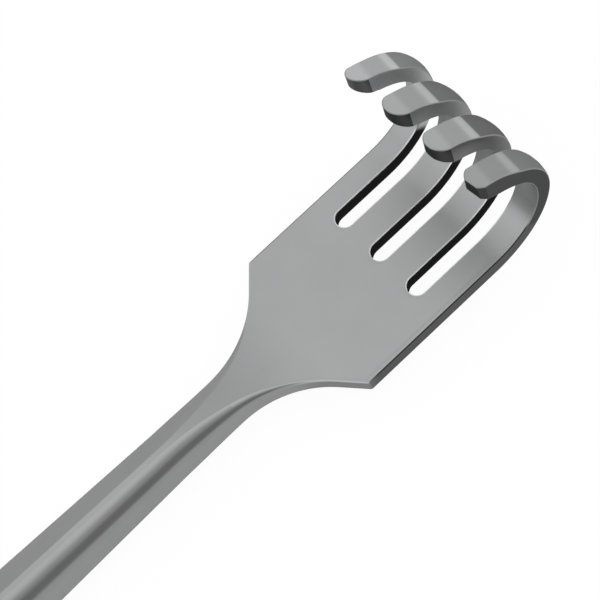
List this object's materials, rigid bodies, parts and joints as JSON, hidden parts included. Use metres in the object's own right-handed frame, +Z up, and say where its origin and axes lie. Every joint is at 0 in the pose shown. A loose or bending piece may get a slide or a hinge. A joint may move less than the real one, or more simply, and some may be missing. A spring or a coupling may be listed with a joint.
{
  "type": "rake retractor",
  "caption": "Hand-held surgical rake retractor: a flat slotted plate with curled blunt prongs on a round shank, and a tear-drop grip with a window.",
  "frame": {"origin": "middle of the bottom of the whole box, on the table that the grip lies on", "axes": "+X along the shank towards the prongs, +Z up, the way the prongs curl; Y across the prongs"},
  "size_m": [0.215, 0.0286, 0.032],
  "materials": {
    "rake_steel": "satin, fine glass-bead blast, edges lightly polished",
    "handle_steel": "satin, fine glass-bead blast"
  },
  "bodies": {
    "root": {"rake_head": "rake_steel", "handle": "handle_steel"}
  },
  "joints": []
}
